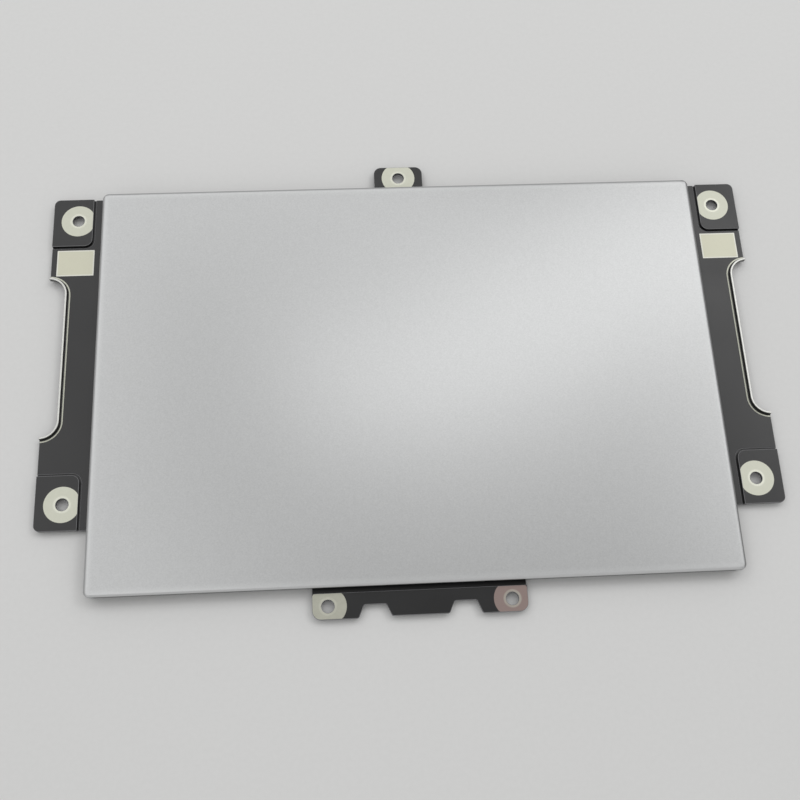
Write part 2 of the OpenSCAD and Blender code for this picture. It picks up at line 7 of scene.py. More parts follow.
import logging
import math
from abc import ABC, abstractmethod
from dataclasses import dataclass, field
from enum import Enum, IntEnum
from typing import Callable, Dict, Iterable, List, Optional, Sequence, Tuple, Union

import bmesh
import bpy
from mathutils import Matrix, Vector


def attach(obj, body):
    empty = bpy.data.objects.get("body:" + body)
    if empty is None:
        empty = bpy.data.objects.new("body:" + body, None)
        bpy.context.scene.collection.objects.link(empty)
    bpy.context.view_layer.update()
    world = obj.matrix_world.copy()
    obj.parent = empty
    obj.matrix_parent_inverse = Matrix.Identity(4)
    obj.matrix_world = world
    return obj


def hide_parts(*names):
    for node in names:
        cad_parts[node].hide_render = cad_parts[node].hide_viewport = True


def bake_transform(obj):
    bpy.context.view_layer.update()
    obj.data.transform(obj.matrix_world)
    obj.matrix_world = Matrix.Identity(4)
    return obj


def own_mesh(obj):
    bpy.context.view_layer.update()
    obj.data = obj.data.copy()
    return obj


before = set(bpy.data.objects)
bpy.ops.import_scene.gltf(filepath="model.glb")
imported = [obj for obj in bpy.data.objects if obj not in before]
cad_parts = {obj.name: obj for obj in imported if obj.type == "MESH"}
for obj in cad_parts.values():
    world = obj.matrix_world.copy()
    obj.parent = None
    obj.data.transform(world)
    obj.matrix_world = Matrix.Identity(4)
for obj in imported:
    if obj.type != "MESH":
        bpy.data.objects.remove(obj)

LOG = logging.getLogger("touchpad")
MM = 0.001

# Share of a border's width, from the outer edge, where its soft inner edge has ended.
CORE = 0.4
# Part of a unit normal along Z over which a face counts as level.
LEVEL = 0.9
# Part of a unit normal along one axis over which a face counts as square to it.
SQUARE = 0.99999
# Edges that turn by more than this many radians get rounded.
SHARP = 0.5
# Points closer than this many millimetres are one point.
WELD = 0.002
# Sides of small round shapes.
SIDES = 20

Point = Tuple[float, float, float]
Spot = Tuple[float, float]
Key = Union[int, str]


class Body(str, Enum):
    """The bodies of the frame that a piece can ride on."""

    BRACKET = "bracket"
    TOUCH = "touch_assembly"
    PLUNGER = "plunger"
    LATCH = "latch"


class Slot(str, Enum):
    """The record's material slots."""

    COATED_STEEL = "coated_steel"
    SPRING_STEEL = "spring_steel"
    RIVET_STEEL = "rivet_steel"
    BUMPER_RUBBER = "bumper_rubber"
    COVER_SILVER = "cover_silver"
    ADHESIVE = "adhesive"
    BOARD_MASK = "board_mask"
    CARRIER_STEEL = "carrier_steel"
    CHIP_BLACK = "chip_black"
    TINNED_METAL = "tinned_metal"
    CERAMIC = "capacitor_ceramic"
    IVORY = "connector_ivory"
    LATCH_BLACK = "latch_black"


class Skin(IntEnum):
    """What a face of the bracket's sheet shows."""

    COAT = 0
    # Rounded edges, where the coat is worn thin and a painted highlight lies.
    EDGE = 1
    BARE = 2
    SHEARED = 3
    LUG = 4
    PAD = 5


@dataclass(frozen=True)
class Tone:
    """A colour as a screen shows it, each channel from 0 to 255."""

    red: float
    green: float
    blue: float

    def linear(self) -> Tuple[float, float, float, float]:
        """The colour in linear light, with full alpha."""
        def channel(value: float) -> float:
            """One channel in linear light."""
            share = value / 255
            return share / 12.92 if share <= 0.04045 else ((share + 0.055) / 1.055) ** 2.4

        return channel(self.red), channel(self.green), channel(self.blue), 1.0


def two_terms(operation: str, words: str, swapped: bool = False) -> Callable[["Field", "Term"], "Field"]:
    """Make a method of Field that adds a Math node over the field and another term.

    Args:
        operation: Blender's name of the operation.
        words: The method's docstring.
        swapped: Whether the other term stands on the left.

    Returns:
        The method.
    """
    def method(first: "Field", other: "Term") -> "Field":
        terms = (other, first) if swapped else (first, other)
        return first.graph.add("ShaderNodeMath", {"operation": operation}, dict(enumerate(terms)))

    method.__doc__ = words
    return method


class Field:
    """An output socket of a node tree, with arithmetic that adds Math nodes."""

    def __init__(self, graph: "Graph", node: bpy.types.Node, key: Optional[Key] = 0) -> None:
        """Wrap one output of a node.

        Args:
            graph: The tree that the node belongs to.
            node: The node.
            key: Index, identifier or name of the output, or None for a node without one.
        """
        self.graph = graph
        self.node = node
        self.socket = None if key is None else pick(node.outputs, key)

    def part(self, key: Key) -> "Field":
        """Another output of the same node."""
        return Field(self.graph, self.node, key)

    __add__ = two_terms("ADD", "Sum.")
    __radd__ = two_terms("ADD", "Sum with a number on the left.", True)
    __sub__ = two_terms("SUBTRACT", "Difference.")
    __rsub__ = two_terms("SUBTRACT", "Difference with a number on the left.", True)
    __mul__ = two_terms("MULTIPLY", "Product.")
    __rmul__ = two_terms("MULTIPLY", "Product with a number on the left.", True)
    __truediv__ = two_terms("DIVIDE", "Quotient.")
    least = two_terms("MINIMUM", "The smaller of two.")
    most = two_terms("MAXIMUM", "The larger of two.")
    above = two_terms("GREATER_THAN", "1 where the value is over a limit, else 0.")
    below = two_terms("LESS_THAN", "1 where the value is under a limit, else 0.")

    def __abs__(self) -> "Field":
        """Size without sign."""
        return self.graph.add("ShaderNodeMath", {"operation": "ABSOLUTE"}, {0: self})

    def fract(self) -> "Field":
        """What is left after the whole number."""
        return self.graph.add("ShaderNodeMath", {"operation": "FRACT"}, {0: self})

    def axis(self, key: Key) -> "Field":
        """One part of a vector: X, Y or Z."""
        return self.graph.add("ShaderNodeSeparateXYZ", {}, {0: self}, key)

    def ease(self, low: float, high: float) -> "Field":
        """A smooth step from 0 at low to 1 at high."""
        sockets = {"Value": self, "From Min": low, "From Max": high}
        return self.graph.add("ShaderNodeMapRange", {"interpolation_type": "SMOOTHSTEP"}, sockets)


Term = Union[Field, float]
Value = Union[Field, float, Tuple[float, ...], bpy.types.Material]


def pick(sockets: Iterable[bpy.types.NodeSocket], key: Key) -> bpy.types.NodeSocket:
    """Find a socket by index, identifier or name.

    Args:
        sockets: A node's inputs or outputs.
        key: Index, identifier or name.

    Returns:
        The socket.
    """
    listed = list(sockets)
    if isinstance(key, int):
        return listed[key]
    found = [s for s in listed if s.identifier == key] or [s for s in listed if s.name == key]
    return found[0]


class Graph:
    """A node tree that is written from the source of its fields to its output."""

    def __init__(self, tree: bpy.types.NodeTree) -> None:
        """Start with an empty tree."""
        self.tree = tree
        tree.nodes.clear()

    def add(
        self,
        kind: str,
        settings: Optional[Dict[str, object]] = None,
        sockets: Optional[Dict[Key, Value]] = None,
        output: Key = 0,
    ) -> Field:
        """Add a node, set it up, then fill its sockets.

        Args:
            kind: Blender's name of the node's type.
            settings: The node's own settings, which are set first.
            sockets: Values or links by input.
            output: The output that the result stands for.

        Returns:
            The chosen output.
        """
        node = self.tree.nodes.new(kind)
        for name, setting in (settings or {}).items():
            setattr(node, name, setting)
        for key, value in (sockets or {}).items():
            socket = pick(node.inputs, key)
            if isinstance(value, Field):
                self.tree.links.new(value.socket, socket)
            else:
                socket.default_value = value
        return Field(self, node, output if len(node.outputs) else None)

    def place(self) -> Field:
        """The point on the object, in millimetres."""
        spot = self.add("ShaderNodeTexCoord", {}, {}, "Object")
        return self.add("ShaderNodeVectorMath", {"operation": "SCALE"}, {0: spot, "Scale": 1 / MM})

    def stretch(self, spot: Field, factors: Point) -> Field:
        """A point with each axis multiplied by its own factor."""
        return self.add("ShaderNodeVectorMath", {"operation": "MULTIPLY"}, {0: spot, 1: factors})

    def noise(self, spot: Field, size: float, detail: float = 2.0) -> Field:
        """Soft noise from 0 to 1 with features of the given size."""
        return self.add("ShaderNodeTexNoise", {}, {"Vector": spot, "Scale": 1 / size, "Detail": detail})

    def cells(self, spot: Field, size: float) -> Field:
        """A number from 0 to 1 for each cell of a random mosaic."""
        sockets = {"Vector": spot, "Scale": 1 / size}
        return self.add("ShaderNodeTexVoronoi", {}, sockets, "Color").axis("X")

    def mix(self, share: Field, low: Value, high: Value) -> Field:
        """A colour between two others.

        Args:
            share: 0 for the first colour, 1 for the second.
            low: The first colour.
            high: The second colour.

        Returns:
            The colour.
        """
        sockets = {"Factor_Float": share, "A_Color": low, "B_Color": high}
        return self.add("ShaderNodeMix", {"data_type": "RGBA"}, sockets, "Result_Color")

    def tones(self, share: Field, low: Tone, high: Tone) -> Field:
        """A colour between two tones."""
        return self.mix(share, low.linear(), high.linear())

    def bump(self, height: Field, depth: float, strength: float = 1.0) -> Field:
        """A normal from a height field that is depth millimetres deep."""
        sockets = {"Height": height, "Distance": depth * MM, "Strength": strength}
        return self.add("ShaderNodeBump", {}, sockets)

    def vector(self, x: Term = 0.0, y: Term = 0.0, z: Term = 0.0) -> Field:
        """A vector from its parts."""
        return self.add("ShaderNodeCombineXYZ", {}, {"X": x, "Y": y, "Z": z})


@dataclass(frozen=True)
class Finish(ABC):
    """A surface: each kind says what it feeds to one shader."""

    name: str

    @abstractmethod
    def shade(self, g: Graph) -> Dict[Key, Value]:
        """The shader's sockets.

        Args:
            g: The material's empty tree.

        Returns:
            Values and fields by socket.
        """

    def material(self) -> bpy.types.Material:
        """The material, made on first use."""
        made = bpy.data.materials.get(self.name)
        if made is None:
            made = bpy.data.materials.new(self.name)
            made.use_nodes = True
            g = Graph(made.node_tree)
            shader = g.add("ShaderNodeBsdfPrincipled", {}, self.shade(g))
            g.add("ShaderNodeOutputMaterial", {}, {"Surface": shader})
        return made


@dataclass(frozen=True)
class SilverFilm(Finish):
    """Matt silver film with fine metal flakes, a paler border and a grey cut edge round it."""

    name: str = "silver_film"
    dark: Tone = Tone(188, 189, 189)
    light: Tone = Tone(214, 215, 215)
    # Colour of the painted highlight on the border and the top of the rounding.
    highlight_tone: Tone = Tone(230, 231, 231)
    # Grey of the cut edge on the lower wall, which is also the colour of the painted reflection band along
    # the rear and side edges.
    rim: Tone = Tone(122, 123, 123)
    flake: float = 0.3
    grain: float = 0.26
    top: float = 3.3
    half: Spot = (60.0, 40.5)
    # Widths of the painted highlight along the border and of the painted reflection band along the rear and
    # sides.
    border: float = 1.8
    band: float = 0.75
    # Share of the painted highlight along the border, and share and place of the painted highlight on the
    # rounding.
    border_share: float = 0.45
    rounding_share: float = 0.6
    rounding_drop: Spot = (0.002, 0.03)
    wall_drop: Spot = (0.15, 0.4)
    # Share of the painted reflection band, and how much darker it gets near the right edge.
    band_share: float = 0.5
    right_share: float = 0.3

    def shade(self, g: Graph) -> Dict[Key, Value]:
        """Grain and flakes in colour, gloss and tilt; the rounding is rubbed bright at the front."""
        spot = g.place()
        flakes = g.cells(spot, self.flake)
        grain = g.noise(spot, self.grain)
        cloud = g.noise(spot, 40.0)
        film = g.tones(0.15 * flakes + 0.7 * grain + 0.15 * cloud, self.dark, self.light)
        inset = (abs(spot.axis("X")) - self.half[0]).most(abs(spot.axis("Y")) - self.half[1])
        drop = self.top - spot.axis("Z")
        # Near the right edge the painted highlight is left off and the painted reflection band is darker.
        right_side = spot.axis("X").ease(self.half[0] - self.border, self.half[0] - CORE * self.border)
        # Painted highlight along the top of the rounding and along the border.
        rounding_glint = self.rounding_share * drop.ease(*self.rounding_drop)
        pale = (self.border_share * inset.ease(-self.border, 0.0)).most(rounding_glint)
        highlighted = g.mix(pale * (1.0 - right_side), film, self.highlight_tone.linear())
        # Painted reflection band along the rear and side edges.
        behind = (abs(spot.axis("X")) - self.half[0]).most(spot.axis("Y") - self.half[1])
        grey = self.band_share + self.right_share * right_side
        band = behind.ease(-self.band, -CORE * self.band) * grey
        return {
            # The painted reflection band and the cut edge's own grey on the lower wall.
            "Base Color": g.mix(band.most(drop.ease(*self.wall_drop)), highlighted, self.rim.linear()),
            "Metallic": 0.4,
            "Roughness": 0.27 + 0.04 * grain,
            "Normal": g.bump(grain, 0.003, 0.25),
        }


@dataclass(frozen=True)
class BlackCoat(Finish):
    """Thin satin black coat on steel, with a faint orange peel."""

    name: str = "black_coat"
    dark: Tone = Tone(12, 12, 13)
    light: Tone = Tone(19, 19, 21)
    peel: float = 0.35

    def shade(self, g: Graph) -> Dict[Key, Value]:
        """Clouded black with small waves and a few dull patches."""
        spot = g.place()
        peel = g.noise(spot, self.peel)
        cloud = g.noise(spot, 9.0, 4.0)
        return {
            "Base Color": g.tones(0.6 * cloud + 0.4 * peel, self.dark, self.light),
            "Roughness": 0.26 + 0.14 * cloud,
            "Specular IOR Level": 0.7,
            "Normal": g.bump(peel, 0.006, 0.6),
        }


@dataclass(frozen=True)
class BareMetal(Finish):
    """Plated or bright sheet: cloudy, with fine drawn lines along one axis."""

    name: str
    dark: Tone
    light: Tone
    gloss: float = 0.32
    metal: float = 1.0
    along: Point = (0.25, 6.0, 6.0)
    depth: float = 0.003

    def shade(self, g: Graph) -> Dict[Key, Value]:
        """Drawn lines and clouds in colour, gloss and height."""
        spot = g.place()
        lines = g.noise(g.stretch(spot, self.along), 1.0, 3.0)
        cloud = g.noise(spot, 3.0, 3.0)
        return {
            "Base Color": g.tones(0.5 * lines + 0.5 * cloud, self.dark, self.light),
            "Metallic": self.metal,
            "Roughness": self.gloss + 0.14 * cloud,
            "Normal": g.bump(lines, self.depth, 0.5),
        }


@dataclass(frozen=True)
class HoleRings(Finish):
    """Bare plated rings round the screw holes, polished where screw heads sit."""

    name: str = "bare_rings"
    dark: Tone = Tone(212, 213, 196)
    light: Tone = Tone(238, 239, 225)
    metal: float = 0.5
    holes: Tuple[Spot, ...] = ()
    seat_r: float = 1.75
    # Colour and share of a painted dark reflection on the rings to the right of the middle.
    reflection_tone: Tone = Tone(150, 122, 122)
    reflection_share: float = 0.0

    def shade(self, g: Graph) -> Dict[Key, Value]:
        """Clouded plating with a brighter seat round each hole, tarnished on the right."""
        spot = g.place()
        flat = g.stretch(spot, (1.0, 1.0, 0.0))
        near: Optional[Field] = None
        for x, y in self.holes:
            ends = {0: flat, 1: (x, y, 0.0)}
            reach = g.add("ShaderNodeVectorMath", {"operation": "DISTANCE"}, ends, "Value")
            near = reach if near is None else near.least(reach)
        seat = near.ease(self.seat_r, self.seat_r - 0.25)
        cloud = g.noise(spot, 1.4, 4.0)
        grain = g.noise(spot, 0.12)
        plating = g.tones(0.5 * cloud + 0.25 * grain + 0.25 * seat, self.dark, self.light)
        # Painted dark reflection on the right half, weaker on the seats.
        reflected = self.reflection_share * spot.axis("X").above(0.0) * (1.0 - 0.5 * seat)
        return {
            "Base Color": g.mix(reflected, plating, self.reflection_tone.linear()),
            "Metallic": self.metal,
            "Roughness": 0.46 + 0.12 * cloud - 0.14 * seat,
            "Normal": g.bump(grain + 0.5 * seat, 0.006, 0.5),
        }


@dataclass(frozen=True)
class EarthPads(Finish):
    """Plated earthing pads on both wings, with a paler border where the coat was masked."""

    name: str = "earth_pads"
    dark: Tone = Tone(216, 215, 193)
    light: Tone = Tone(232, 231, 213)
    pale: Tone = Tone(242, 242, 232)
    middle: Spot = (65.25, 26.15)
    half: Spot = (3.65, 2.8)
    border: float = 0.32

    def shade(self, g: Graph) -> Dict[Key, Value]:
        """Clouded plating inside a pale border."""
        spot = g.place()
        across = abs(abs(spot.axis("X")) - self.middle[0]) - self.half[0]
        along = abs(spot.axis("Y") - self.middle[1]) - self.half[1]
        inside = across.most(along).ease(-self.border, -CORE * self.border)
        cloud = g.noise(spot, 1.8, 4.0)
        grain = g.noise(spot, 0.12)
        plating = g.tones(0.65 * cloud + 0.35 * grain, self.dark, self.light)
        return {
            "Base Color": g.mix(inside, plating, self.pale.linear()),
            "Metallic": 0.5,
            "Roughness": 0.46 + 0.14 * cloud,
            "Normal": g.bump(grain, 0.006, 0.5),
        }


@dataclass(frozen=True)
class SolderMask(Finish):
    """Black board lacquer with runs of fine tracks under it."""

    name: str = "solder_mask"
    dark: Tone = Tone(16, 22, 19)
    light: Tone = Tone(34, 46, 39)
    pitch: float = 0.55
    patch: float = 5.0

    def shade(self, g: Graph) -> Dict[Key, Value]:
        """Tracks run along X in some patches and along Y in others."""
        spot = g.place()
        patch = g.cells(spot, self.patch)
        along_x = abs((spot.axis("Y") / self.pitch).fract() - 0.5).below(0.22) * patch.above(0.62)
        along_y = abs((spot.axis("X") / self.pitch).fract() - 0.5).below(0.22) * patch.below(0.34)
        track = along_x.most(along_y)
        grain = g.noise(spot, 0.2)
        return {
            "Base Color": g.tones(0.75 * track + 0.25 * grain, self.dark, self.light),
            "Roughness": 0.32 + 0.12 * grain,
            "Normal": g.bump(track + 0.2 * grain, 0.02, 0.7),
        }


@dataclass(frozen=True)
class Moulding(Finish):
    """Filled plastic, rubber, ceramic or tape: a speckled body with a fine grain."""

    name: str
    dark: Tone
    light: Tone
    gloss: float = 0.5
    speck: float = 0.07
    depth: float = 0.004

    def shade(self, g: Graph) -> Dict[Key, Value]:
        """Specks in colour and gloss over a fine grain."""
        spot = g.place()
        specks = g.cells(spot, self.speck)
        cloud = g.noise(spot, 14 * self.speck, 3.0)
        return {
            "Base Color": g.tones(0.45 * specks + 0.55 * cloud, self.dark, self.light),
            "Roughness": self.gloss + 0.12 * specks,
            "Normal": g.bump(specks + cloud, self.depth, 0.5),
        }


@dataclass(frozen=True)
class SeamlessPaper(Finish):
    """Matt studio paper that gets paler far from the part, beyond the lamps' reach."""

    name: str = "studio_paper"
    near: Tone = Tone(226, 226, 225)
    light: Tone = Tone(231, 231, 230)
    far: Tone = Tone(252, 252, 252)
    lamp_reach: Spot = (400.0, 1800.0)
    fibre: float = 0.9

    def shade(self, g: Graph) -> Dict[Key, Value]:
        """Fibres in colour and height, and a slow change to the far tone."""
        spot = g.place()
        fibres = g.noise(spot, self.fibre, 4.0)
        away = g.add("ShaderNodeVectorMath", {"operation": "LENGTH"}, {0: spot}, "Value")
        sheet = g.tones(fibres, self.near, self.light)
        return {
            "Base Color": g.mix(away.ease(*self.lamp_reach), sheet, self.far.linear()),
            "Roughness": 0.85 + 0.1 * fibres,
            "Specular IOR Level": 0.0,
            "Normal": g.bump(fibres, 0.01, 0.5),
        }


HOLES: Tuple[Spot, ...] = (
    (-65.0, -23.1), (65.0, -23.1), (-65.0, 35.3), (65.0, 35.3),
    (-16.7, -43.65), (16.7, -43.65), (0.0, 43.4),
)

SILVER = SilverFilm()
COAT = BlackCoat()
# Lighter coat on the rounded edges of the sheet: partly the coat worn thin there, partly a painted highlight
# along the edges.
EDGE_WEAR_AND_GLINT = BlackCoat("edge_wear_and_glint", Tone(104, 104, 106), Tone(152, 152, 154))
RINGS = HoleRings(holes=HOLES)
# The lugs take a painted dark reflection on the right one.
LUGS = HoleRings("bare_lugs", Tone(182, 182, 168), Tone(224, 224, 210), 0.85, HOLES, reflection_share=0.75)
PADS = EarthPads()
SHEARED = BareMetal("sheared_edge", Tone(205, 205, 200), Tone(240, 240, 236), 0.34, 0.8)
SPRING = BareMetal("spring_steel", Tone(168, 166, 160), Tone(198, 196, 190), 0.26)
CARRIER = BareMetal("carrier_steel", Tone(176, 177, 176), Tone(204, 205, 204), 0.34)
RIVET = BareMetal("rivet_steel", Tone(186, 184, 178), Tone(214, 212, 206), 0.28, 1.0, (2.0, 2.0, 2.0))
TIN = BareMetal("tinned_metal", Tone(196, 195, 188), Tone(226, 225, 218), 0.26, 1.0, (3.0, 3.0, 3.0))
MASK = SolderMask()
EPOXY = Moulding("chip_epoxy", Tone(24, 24, 25), Tone(40, 40, 41), 0.48)
RUBBER = Moulding("bumper_rubber", Tone(26, 26, 26), Tone(38, 38, 38), 0.78, 0.12, 0.01)
CERAMIC = Moulding("capacitor_ceramic", Tone(150, 124, 92), Tone(184, 158, 124), 0.42)
FILM_BLACK = Moulding("resistor_glaze", Tone(20, 20, 22), Tone(34, 34, 38), 0.3)
IVORY = Moulding("ivory_resin", Tone(206, 198, 176), Tone(226, 220, 202), 0.46)
LATCH_RESIN = Moulding("latch_resin", Tone(30, 30, 31), Tone(48, 48, 49), 0.44)
TAPE = Moulding("adhesive_tape", Tone(96, 97, 98), Tone(126, 127, 128), 0.6, 0.2, 0.01)
PAPER = SeamlessPaper()


def metres(point: Point) -> Vector:
    """A point in millimetres as a vector in metres."""
    return Vector(point) * MM


def shown(mesh: bpy.types.Mesh, name: str) -> bpy.types.Object:
    """Put a mesh in the scene as an object at the origin."""
    made = bpy.data.objects.new(name, mesh)
    bpy.context.scene.collection.objects.link(made)
    return made


def smooth_but_sharp(mesh: bpy.types.Mesh, angle: float = 20.0, flats: bool = True) -> None:
    """Shade a mesh smoothly between its sharp edges.

    Args:
        mesh: The mesh.
        angle: Edges over this many degrees stay sharp.
        flats: Whether faces square to an axis keep their own flat shade.
    """
    mesh.shade_smooth()
    mesh.set_sharp_from_angle(angle=math.radians(angle))
    for face in mesh.polygons:
        if flats and max(abs(part) for part in face.normal) > SQUARE:
            face.use_smooth = False


def settle(piece: bpy.types.Object, body: Body, slot: Slot, *nodes: str) -> bpy.types.Object:
    """Tie a finished piece to its body, its slot and the nodes that it stands for.

    Args:
        piece: The finished piece.
        body: The body that it rides on.
        slot: The record's slot for its finish.
        *nodes: The nodes of the frame that it replaces.

    Returns:
        The piece.
    """
    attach(piece, body.value)
    if nodes:
        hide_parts(*nodes)
    LOG.info("%s rides on %s", piece.name, body.value)
    return piece


def dress(node: str, finish: Finish) -> None:
    """Give a node of the frame its finish."""
    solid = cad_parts[node]
    if not solid.material_slots:
        solid.data.materials.append(None)
    for held in solid.material_slots:
        held.material = finish.material()
    LOG.info("%s keeps its own shape", node)


def merged_copy(node: str) -> bmesh.types.BMesh:
    """A node's shape with its loose triangles joined."""
    bm = bmesh.new()
    bm.from_mesh(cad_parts[node].data)
    bmesh.ops.remove_doubles(bm, verts=bm.verts, dist=WELD * MM)
    return bm


def join_flat_faces(bm: bmesh.types.BMesh) -> None:
    """Join triangles that lie in one plane and show one finish."""
    bmesh.ops.dissolve_limit(
        bm, angle_limit=math.radians(0.5), verts=bm.verts, edges=bm.edges, delimit={"MATERIAL"}
    )


def break_edges(bm: bmesh.types.BMesh, ease: float, skin: int = -1) -> None:
    """Round the sharp outer edges of a shape.

    Args:
        bm: The shape.
        ease: Width of the rounding in millimetres.
        skin: Material index of the new faces, or -1 for that of their neighbours.
    """
    sharp = [e for e in bm.edges if len(e.link_faces) == 2 and e.is_convex and e.calc_face_angle() > SHARP]
    bmesh.ops.bevel(
        bm, geom=sharp, offset=ease * MM, offset_type="OFFSET", segments=2, profile=0.5, affect="EDGES",
        clamp_overlap=False, material=skin, loop_slide=False,
    )


def finished(
    bm: bmesh.types.BMesh, name: str, finishes: Sequence[Finish], flats: bool = True
) -> bpy.types.Object:
    """Turn a shape into an object with its finishes.

    Args:
        bm: The shape, which is freed.
        name: Name of the object.
        finishes: Finishes by material index.
        flats: Whether faces square to an axis keep their own flat shade.

    Returns:
        The object.
    """
    mesh = bpy.data.meshes.new(name)
    bm.to_mesh(mesh)
    bm.free()
    for finish in finishes:
        mesh.materials.append(finish.material())
    smooth_but_sharp(mesh, flats=flats)
    return shown(mesh, name)


def eased_shape(node: str, ease: float) -> bmesh.types.BMesh:
    """A node's own shape in one finish, with its sharp outer edges rounded by ease millimetres."""
    bm = merged_copy(node)
    for face in bm.faces:
        face.material_index = 0
    join_flat_faces(bm)
    break_edges(bm, ease)
    return bm


def eased_copy(node: str, name: str, finish: Finish, ease: float) -> bpy.types.Object:
    """A node's own shape with its sharp outer edges rounded.

    Args:
        node: The node of the frame.
        name: Name of the object.
        finish: The finish.
        ease: Width of the rounding in millimetres.

    Returns:
        The object.
    """
    return finished(eased_shape(node, ease), name, [finish])


def refine(node: str, name: str, finish: Finish, ease: float, body: Body, slot: Slot) -> None:
    """Put a node's own shape with rounded edges in its place.

    Args:
        node: The node of the frame.
        name: Name of the object.
        finish: The finish.
        ease: Width of the rounding in millimetres.
        body: The body that it rides on.
        slot: The record's slot for its finish.
    """
    settle(eased_copy(node, name, finish, ease), body, slot, node)


class Sketch:
    """Rings of points and the faces between them."""

    def __init__(self) -> None:
        """Start empty."""
        self.bm = bmesh.new()

    def ring(self, points: Iterable[Point]) -> List[bmesh.types.BMVert]:
        """Add a closed ring of points."""
        return [self.bm.verts.new(metres(p)) for p in points]

    def band(self, lower: List[bmesh.types.BMVert], upper: List[bmesh.types.BMVert]) -> None:
        """Add the faces between two rings of the same count."""
        count = len(lower)
        for i in range(count):
            k = (i + 1) % count
            self.bm.faces.new((lower[i], lower[k], upper[k], upper[i]))

    def stack(self, rings: Sequence[Sequence[Point]]) -> None:
        """Join rings one above the other and close both ends."""
        made = [self.ring(points) for points in rings]
        for lower, upper in zip(made, made[1:]):
            self.band(lower, upper)
        self.bm.faces.new(list(reversed(made[0])))
        self.bm.faces.new(made[-1])

    def closed(self, name: str, finish: Finish) -> bpy.types.Object:
        """Turn the sketch into an object with outward faces."""
        bmesh.ops.recalc_face_normals(self.bm, faces=self.bm.faces)
        return finished(self.bm, name, [finish], flats=False)


def rounded_box(half_x: float, half_y: float, r: float, z: float, steps: int = 10) -> List[Point]:
    """Points of a rectangle with rounded corners round the origin.

    Args:
        half_x: Half of its width.
        half_y: Half of its depth.
        r: Radius of its corners.
        z: Height.
        steps: Segments in a corner.

    Returns:
        The points, counter-clockwise.
    """
    points: List[Point] = []
    for quarter, (sx, sy) in enumerate(((1, 1), (-1, 1), (-1, -1), (1, -1))):
        for k in range(steps + 1):
            a = math.radians(90 * (quarter + k / steps))
            points.append((sx * (half_x - r) + r * math.cos(a), sy * (half_y - r) + r * math.sin(a), z))
    return points


def turned(profile: Sequence[Spot], at: Spot, name: str, finish: Finish, steps: int = 48) -> bpy.types.Object:
    """A body turned about a vertical axis.

    Args:
        profile: Radius and height pairs from one end to the other.
        at: Place of the axis.
        name: Name of the object.
        finish: The finish.
        steps: Segments round the axis.

    Returns:
        The object.
    """
    sketch = Sketch()
    angles = [2 * math.pi * k / steps for k in range(steps)]
    sketch.stack([
        [(at[0] + r * math.cos(a), at[1] + r * math.sin(a), z) for a in angles] for r, z in profile
    ])
    return sketch.closed(name, finish)


